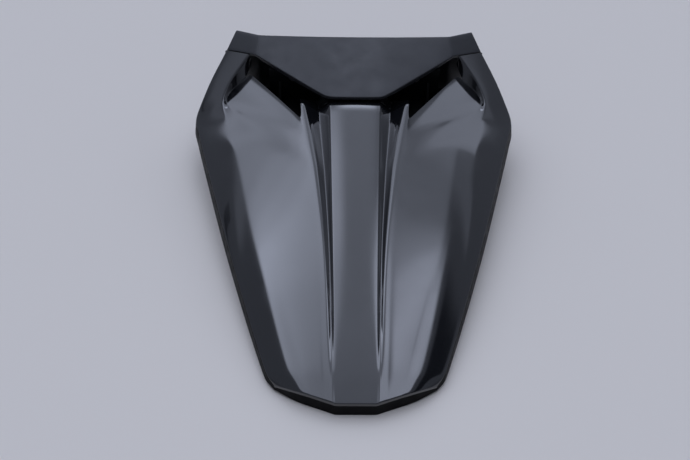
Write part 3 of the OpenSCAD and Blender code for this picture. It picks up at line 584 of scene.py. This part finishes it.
def vary(m, socket, fac, low, high):
    """Runs a socket of the shader from low to high with fac."""
    tree = m.node_tree
    ramp = tree.nodes.new("ShaderNodeMapRange")
    ramp.inputs["From Min"].default_value = NOISE_LOW
    ramp.inputs["From Max"].default_value = NOISE_HIGH
    tree.links.new(fac, ramp.inputs["Value"])
    target = tree.nodes["Principled BSDF"].inputs[socket]
    if isinstance(low, tuple):
        blend = tree.nodes.new("ShaderNodeMix")
        blend.data_type = "RGBA"
        blend.inputs[MIX_A].default_value = (*low, 1)
        blend.inputs[MIX_B].default_value = (*high, 1)
        tree.links.new(ramp.outputs["Result"], blend.inputs[0])
        tree.links.new(blend.outputs[MIX_RESULT], target)
    else:
        ramp.inputs["To Min"].default_value = low
        ramp.inputs["To Max"].default_value = high
        tree.links.new(ramp.outputs["Result"], target)


def bump(m, fac, height, strength):
    """Bump of a height in metres."""
    tree = m.node_tree
    node = tree.nodes.new("ShaderNodeBump")
    node.inputs["Distance"].default_value = height
    node.inputs["Strength"].default_value = strength
    tree.links.new(fac, node.inputs["Height"])
    tree.links.new(node.outputs["Normal"], tree.nodes["Principled BSDF"].inputs["Normal"])


def gloss_shell():
    m = material("gloss_shell", (0.006, 0.0065, 0.008), 0.12, Coat_Weight=1.0, Coat_Roughness=0.02)
    vary(m, "Roughness", noise(m, 60, 3), 0.1, 0.16)
    bump(m, noise(m, 420, 1), 0.000004, 0.5)
    return m


def satin_painted_shade():
    """The lower band of the gloss shell: satin, with its colour and reflection darkened as painted shade
    for the shade on the low walls next to the table.
    """
    m = material("satin_painted_shade", (0.002, 0.002, 0.0025), 0.5, Specular_IOR_Level=0.08)
    vary(m, "Roughness", noise(m, 150, 3), 0.42, 0.58)
    bump(m, noise(m, 2200, 2), 0.00005, 0.4)
    return m


def matte_trim():
    m = material("matte_trim", (0.015, 0.016, 0.019), 0.42, Specular_IOR_Level=0.42)
    vary(m, "Roughness", noise(m, 90, 4), 0.36, 0.48)
    vary(m, "Base Color", noise(m, 25, 3), (0.01, 0.011, 0.0135), (0.0145, 0.0155, 0.019))
    bump(m, noise(m, 2600, 2), 0.00006, 0.5)
    return m


def base_plastic():
    # Near-black, darker than the trim's plastic: partly the base's own black, partly painted shade so the
    # insides seen through the scoops read black
    m = material("base_plastic", (0.006, 0.006, 0.0065), 0.55, Specular_IOR_Level=0.2)
    vary(m, "Roughness", noise(m, 120, 3), 0.48, 0.64)
    bump(m, noise(m, 1800, 2), 0.00008, 0.5)
    return m


def striker_steel():
    m = material("striker_steel", (0.02, 0.02, 0.021), 0.35, Coat_Weight=0.4)
    vary(m, "Roughness", noise(m, 200, 4), 0.3, 0.45)
    bump(m, noise(m, 700, 2), 0.00003, 0.5)
    return m


def plated_steel():
    m = material("plated_steel", (0.6, 0.6, 0.58), 0.32, Metallic=1.0)
    vary(m, "Base Color", noise(m, 300, 3), (0.54, 0.55, 0.55), (0.66, 0.65, 0.6))
    vary(m, "Roughness", noise(m, 900, 2), 0.26, 0.4)
    return m


def rubber():
    m = material("rubber", (0.012, 0.012, 0.012), 0.75)
    vary(m, "Roughness", noise(m, 300, 3), 0.68, 0.85)
    bump(m, noise(m, 1500, 3), 0.00008, 0.5)
    return m


FINISHES = {f.__name__: f() for f in
            (gloss_shell, satin_painted_shade, matte_trim, base_plastic, striker_steel, plated_steel, rubber)}


# Pieces

def turned(degrees, axis="X"):
    """A turn about an axis, as a matrix."""
    return Matrix.Rotation(math.radians(degrees), 4, axis)


def stand_in(piece, slot, node):
    """Gives a piece the finish of its slot and shows it in place of a solid."""
    piece.data.materials.append(FINISHES[slot])
    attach(piece, "root")
    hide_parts(node)


def make_skins():
    """The shell and the trim, finer than their solids."""
    net, across, down, hole = shell_net()
    shell = moulding("shell_skin", net, across, down, SHELL_T, hole, painted_shade_band=True)
    stand_in(shell, "gloss_shell", "cowl_shell")
    # The low wall's second material: painted shade in a near-black satin
    shell.data.materials.append(FINISHES["satin_painted_shade"])
    net, across, down = trim_net()
    trim = moulding("trim_skin", net, across, down, TRIM_T, rim_rows=(0, len(net) - 1))
    stand_in(trim, "matte_trim", "front_trim")


# Bosses under the mouldings: their sizes, the height of the base plate and the gap over a seat
BOSS_D, BOSS_CHAMFER, PILOT_D, PILOT_L, BOSS_SIDES, SHARP_ANGLE = 8.4, 0.3, 3.2, 9, 40, 35
PLATE_TOP, SEAT_GAP, WALL_LEFT = 8, 0.3, 1
# Places of the shell's screws as t and u on a panel, the steepest slope over them, and the skin left
SCREW_AT, STEEPEST, SKIN_LEFT = ((1.12, 0.45), (3.1, 0.3), (4.6, 0.16)), 22, 0.3
# Places of the trim's screws, on the shell's tab and on the base's front wall
TAB_X, TAB_OVER, TAB_LEFT = 8, 0.4, 0.9
APRON_X, APRON_RISE, BASE_END_S, APRON_IN, APRON_OVER = 48, 33, COWL_L - 36, 0.6, 1


def shell_bosses():
    """Frame, length and bore of each boss that stands on the base plate, on the right side."""
    bosses = []
    for t, u in SCREW_AT:
        seat = turned(BASE_RISE).inverted() @ Vector(panel(t, u))
        length = seat.z - BOSS_D / 2 * tan(STEEPEST) - SKIN_LEFT - PLATE_TOP
        place = turned(BASE_RISE) @ Matrix.Translation((seat.x, seat.y, PLATE_TOP))
        bosses.append((place, length, min(PILOT_L, length - WALL_LEFT)))
    return bosses


def trim_bosses():
    """The same for the bosses under the trim: one on the shell's tab, one on the base's front wall."""
    low = spine_z(TRIM_S) + SPINE_CROWN + TRIM_GAP + LIP_H
    climb = (COWL_H - low) / (COWL_L - CREST_SAG - TRIM_S)
    tab_s = (TRIM_S + TAB_STEP + TAB_END_S) / 2
    tab_z = top_z(tab_s) + SPINE_CROWN * (1 - TAB_X / spine_x(tab_s))
    tab_l = low + (tab_s - TRIM_S) * climb - TRIM_T - tab_z + TAB_OVER
    tab = Matrix.Translation((TAB_X, tab_s, tab_z)) @ turned(SPINE_RISE)
    apron_s = crest(APRON_X)[1] - APRON_LEAN * APRON_IN - TRIM_T + APRON_OVER
    rise = math.radians(BASE_RISE)
    apron_l = apron_s - BASE_END_S + APRON_RISE * math.sin(rise) - SEAT_GAP
    wall = Matrix.Translation((APRON_X, BASE_END_S / math.cos(rise), APRON_RISE))
    apron = turned(BASE_RISE) @ wall @ turned(-90)
    lift = Matrix.Translation((0, 0, SEAT_GAP))
    return [(tab @ lift, tab_l, tab_l - TAB_LEFT), (apron @ lift, apron_l, PILOT_L)]


def make_bosses(name, bosses, slot, node):
    """Bosses with a pilot bore, on both sides, as one piece."""
    points, faces = [], []
    for place, length, bore in bosses:
        rings = ((PILOT_D / 2, bore), (PILOT_D / 2, 0), (BOSS_D / 2 - BOSS_CHAMFER, 0),
                 (BOSS_D / 2, BOSS_CHAMFER), (BOSS_D / 2, length))
        for flip in (1, -1):
            start = len(points)
            for r, z in rings:
                for k in range(BOSS_SIDES):
                    a = math.tau * k / BOSS_SIDES * flip
                    p = place @ Vector((r * math.cos(a), r * math.sin(a), z))
                    points.append((p.x * flip * MM, (p.y - COWL_L / 2) * MM, p.z * MM))
            for ring in range(start, start + (len(rings) - 1) * BOSS_SIDES, BOSS_SIDES):
                for k in range(BOSS_SIDES):
                    a, b = ring + k, ring + (k + 1) % BOSS_SIDES
                    faces.append((a, a + BOSS_SIDES, b + BOSS_SIDES, b))
            faces.append(tuple(range(start, start + BOSS_SIDES)))
            faces.append(tuple(reversed(range(len(points) - BOSS_SIDES, len(points)))))
    mesh = bpy.data.meshes.new(name)
    mesh.from_pydata(points, [], faces)
    mesh.shade_smooth()
    mesh.set_sharp_from_angle(angle=math.radians(SHARP_ANGLE))
    stand_in(add_object(name, mesh), slot, node)


# How the base plate's tail corners tuck in: the step, the spans of s and of x over which it grows, and
# the height over the lower edge above which a corner also goes down
TUCK_IN, TUCK_BACK, TUCK_DOWN, TUCK_S, TUCK_X, TUCK_ABOVE = 1.4, 2, 4, (30, 17), (44, 52), 5


def tuck_base():
    """A copy of the base plate, with its tail corners tucked in under the sloping facets."""
    node = nodes["base_plate"]
    piece = add_object("base_skin", node.data.copy())
    piece.matrix_world = node.matrix_world
    back = node.matrix_world.inverted()
    tail = at(0, COWL_L / 2, 0)
    for vertex in piece.data.vertices:
        p = np.array(node.matrix_world @ vertex.co) / MM + tail
        near = share(*TUCK_S, p[1]) * share(*TUCK_X, abs(p[0]))
        if near > 0:
            down = TUCK_DOWN if p[2] > base_z(p[1]) + TUCK_ABOVE else 0
            p += at(-TUCK_IN * np.sign(p[0]), TUCK_BACK, -down) * near
            vertex.co = back @ Vector((p - tail) * MM)
    piece.data.materials.clear()
    stand_in(piece, "base_plastic", "base_plate")


def dress_nodes():
    """Puts their finishes on the solids that stay in view."""
    for entry in frame["record"]["subparts"]:
        if entry["node"] in ("cowl_shell", "front_trim", "base_plate"):
            continue
        node, look = nodes[entry["node"]], FINISHES[entry["material_slot"]]
        if not node.data.materials:
            node.data.materials.append(look)
        for slot in node.material_slots:
            slot.material = look


# Studio

TABLE_COLOUR, TABLE_ROUGH, TABLE_SHINE, TABLE_HALF = (0.72, 0.68, 0.625), 0.6, 0.2, 4


def make_table():
    """The table that the cowl lies on."""
    mesh = bpy.data.meshes.new("floor")
    corners = ((-1, -1), (1, -1), (1, 1), (-1, 1))
    mesh.from_pydata([(x * TABLE_HALF, y * TABLE_HALF, 0) for x, y in corners], [], [(0, 1, 2, 3)])
    floor = add_object("floor", mesh)
    table = material("table", TABLE_COLOUR, TABLE_ROUGH, Specular_IOR_Level=TABLE_SHINE)
    floor.data.materials.append(table)


# What the camera sees behind the table, and the studio's air, whose light the dark walls give back
BACKDROP = (0.46, 0.46, 0.53)
AIR, AIR_COLOUR = 0.25, (0.92, 1, 1.24)
# Radiances of the studio's ceiling. Each place is x or y, the direction of sight's X or Y over its Z:
# two broad soft lights, at the left and right of a dimmer strip
LEFT = ((-0.4, 1.6), (0.05, 1.7), (0.18, 2.4), (0.26, 3.0), (0.32, 3.1), (0.38, 2.4), (0.46, 1.85),
        (0.57, 1.4), (0.68, 1.3), (0.85, 1.35), (1.3, 0.95), (1.9, 0.95))
RIGHT = ((-0.4, 1.8), (0.1, 2.25), (0.2, 2.8), (0.25, 2.5), (0.29, 1.45), (0.33, 0.84), (0.42, 0.8),
         (0.5, 0.95), (0.63, 1.3), (0.9, 1.2), (1.3, 0.85), (1.9, 0.85))
STRIP = ((-0.4, 0.68), (0.02, 0.75), (0.14, 0.96), (0.4, 1.08), (0.62, 3.2), (0.9, 3.2), (1.3, 1.0))
# Reach of each light to its side: where it starts and how it grows with y. The right one reaches on.
REACH_LEFT, REACH_RIGHT, REACH_MORE, REACH_MORE_Y = (0.42, 0.95), (0.4, 0.72), 0.32, (0.68, 0.86)
# Half widths of the soft borders between left and right and at the reach, and the end of the ceiling
SPLIT, BORDER, CEILING_END = 0.03, 0.05, (1.9, 2.6)
# The right light's tones lie on a slant over x, and the left light grows outwards
SLANT_X, SLANT = 0.35, 0.25
OUTWARD, OUTWARD_X = (0.76, 1.16), (0.1, 0.75)
STRIP_EDGE_LEFT, STRIP_EDGE_RIGHT = (0.03, 0.11), (0.1, 0.2)
# The walls: a dark shade low at the right, a dark bar at the left and a glow in between. They are dimmer
# near the horizon, whose Z is held above a least value.
SHADE_X, SHADE_SPAN, SHADE_Y = 1.15, (0.35, 0.5), (0.2, 0.36)
BAR_X, BAR_Y, BAR_SPAN = (-1.55, -1.6), 0.755, (0.03, 0.05)
DARKNESS, GLOW_X, GLOW_START_Y, GLOW_END_Y = 0.92, (1.42, 1.52), (0.45, 0.6), (0.68, 0.85)
LOW_SHARE, LOW_Z, LEAST_Z = 0.65, (0.05, 0.3), 0.02


class Sums:
    """Shader maths on the sockets of a node tree."""

    def __init__(self, tree):
        self.tree = tree

    def do(self, operation, a, b=0.0):
        node = self.tree.nodes.new("ShaderNodeMath")
        node.operation = operation
        for socket, value in zip(node.inputs, (a, b)):
            if isinstance(value, (int, float)):
                socket.default_value = value
            else:
                self.tree.links.new(value, socket)
        return node.outputs["Value"]

    def plus(self, a, b):
        return self.do("ADD", a, b)

    def minus(self, a, b):
        return self.do("SUBTRACT", a, b)

    def times(self, a, b):
        return self.do("MULTIPLY", a, b)

    def absolute(self, a):
        return self.do("ABSOLUTE", a)

    def blend(self, a, b, t):
        return self.plus(a, self.times(self.minus(b, a), t))

    def smooth(self, x, start, end):
        """Runs from 0 to 1 as x goes from start to end."""
        node = self.tree.nodes.new("ShaderNodeMapRange")
        node.interpolation_type = "SMOOTHSTEP"
        self.tree.links.new(x, node.inputs["Value"])
        node.inputs["From Min"].default_value = start
        node.inputs["From Max"].default_value = end
        return node.outputs["Result"]

    def fade(self, x, start, end):
        """Runs from 1 to 0 as x goes from start to end."""
        return self.minus(1.0, self.smooth(x, start, end))

    def curve(self, x, points):
        """Height over x of a smooth line through the points."""
        low, high = points[0][0], points[-1][0]
        top = max(v for _, v in points)
        node = self.tree.nodes.new("ShaderNodeValToRGB")
        node.color_ramp.interpolation = "EASE"
        stops = node.color_ramp.elements
        while len(stops) < len(points):
            stops.new(0.5)
        for stop, (place, value) in zip(stops, points):
            stop.position = (place - low) / (high - low)
            stop.color = (value / top,) * 3 + (1,)
        self.tree.links.new(self.do("DIVIDE", self.minus(x, low), high - low), node.inputs["Fac"])
        return self.times(node.outputs["Color"], top)


def ceiling_light(m, x, y):
    """Radiance of the ceiling, and a share that is 1 where it lies and 0 at the walls."""
    aside, right = m.absolute(x), m.smooth(x, -SPLIT, SPLIT)
    reach_left, reach_right = (m.plus(m.times(y, growth), start)
                               for start, growth in (REACH_LEFT, REACH_RIGHT))
    more = m.times(m.times(m.smooth(y, *REACH_MORE_Y), REACH_MORE), right)
    reach = m.plus(m.blend(reach_left, reach_right, right), more)
    lit = m.times(m.fade(m.minus(aside, reach), -BORDER, BORDER), m.fade(y, *CEILING_END))
    slant = m.minus(y, m.times(m.minus(x, SLANT_X), SLANT))
    outward = m.blend(*OUTWARD, m.smooth(aside, *OUTWARD_X))
    lamps = m.blend(m.times(m.curve(y, LEFT), outward), m.curve(slant, RIGHT), right)
    edge = m.blend(m.smooth(aside, *STRIP_EDGE_LEFT), m.smooth(aside, *STRIP_EDGE_RIGHT), right)
    return m.blend(m.curve(y, STRIP), lamps, edge), lit


def wall_light(m, x, y, up):
    """Radiance of the walls."""
    shade = m.times(m.fade(m.absolute(m.minus(x, SHADE_X)), *SHADE_SPAN), m.fade(y, *SHADE_Y))
    bar = m.times(m.smooth(x, *BAR_X), m.fade(m.absolute(m.minus(y, BAR_Y)), *BAR_SPAN))
    dark = m.times(m.plus(shade, bar), DARKNESS)
    glow = m.times(m.fade(m.absolute(x), *GLOW_X),
                   m.times(m.smooth(y, *GLOW_START_Y), m.fade(y, *GLOW_END_Y)))
    level = m.times(m.blend(LOW_SHARE, 1.0, m.smooth(up, *LOW_Z)), AIR)
    return m.times(m.minus(m.plus(1.0, glow), dark), level)


def make_surroundings():
    """The light of the studio, as a world. The camera itself sees an even backdrop."""
    world = bpy.data.worlds.new("studio")
    bpy.context.scene.world = world
    world.use_nodes = True
    tree = world.node_tree
    place = tree.nodes.new("ShaderNodeTexCoord")
    parts = tree.nodes.new("ShaderNodeSeparateXYZ")
    tree.links.new(place.outputs["Generated"], parts.inputs[0])
    m = Sums(tree)
    z = m.do("MAXIMUM", parts.outputs["Z"], LEAST_Z)
    x, y = (m.do("DIVIDE", parts.outputs[axis], z) for axis in "XY")
    ceiling, lit = ceiling_light(m, x, y)
    radiance = m.blend(wall_light(m, x, y, parts.outputs["Z"]), ceiling, lit)
    light = tree.nodes["Background"]
    light.inputs["Color"].default_value = (*AIR_COLOUR, 1)
    tree.links.new(radiance, light.inputs["Strength"])
    backdrop = tree.nodes.new("ShaderNodeBackground")
    backdrop.inputs["Color"].default_value = (*BACKDROP, 1)
    path = tree.nodes.new("ShaderNodeLightPath")
    either = tree.nodes.new("ShaderNodeMixShader")
    for source, socket in zip((path.outputs["Is Camera Ray"], light.outputs[0], backdrop.outputs[0]),
                              either.inputs):
        tree.links.new(source, socket)
    tree.links.new(either.outputs[0], tree.nodes["World Output"].inputs["Surface"])


# The camera, solved from the photograph: lens in pixels of the picture's width, place in metres, degrees
LENS_PX, PICTURE_PX, SENSOR_MM = 950, 690, 36
CAMERA_AT, CAMERA_YAW, CAMERA_PITCH, CAMERA_ROLL = (-0.01305, -0.49098, 0.5224), -0.73, 46.35, 0.924


def make_camera():
    data = bpy.data.cameras.new("camera")
    data.sensor_width = SENSOR_MM
    data.lens = SENSOR_MM * LENS_PX / PICTURE_PX
    camera = add_object("camera", data)
    camera.location = CAMERA_AT
    turn = turned(CAMERA_YAW, "Z") @ turned(90 - CAMERA_PITCH) @ turned(CAMERA_ROLL, "Z")
    camera.rotation_euler = turn.to_euler()
    bpy.context.scene.camera = camera
    bpy.context.scene.view_settings.view_transform = "Standard"


make_camera()
make_table()
make_surroundings()
make_skins()
make_bosses("shell_bosses", shell_bosses(), "gloss_shell", "cowl_shell")
make_bosses("trim_bosses", trim_bosses(), "matte_trim", "front_trim")
tuck_base()
dress_nodes()
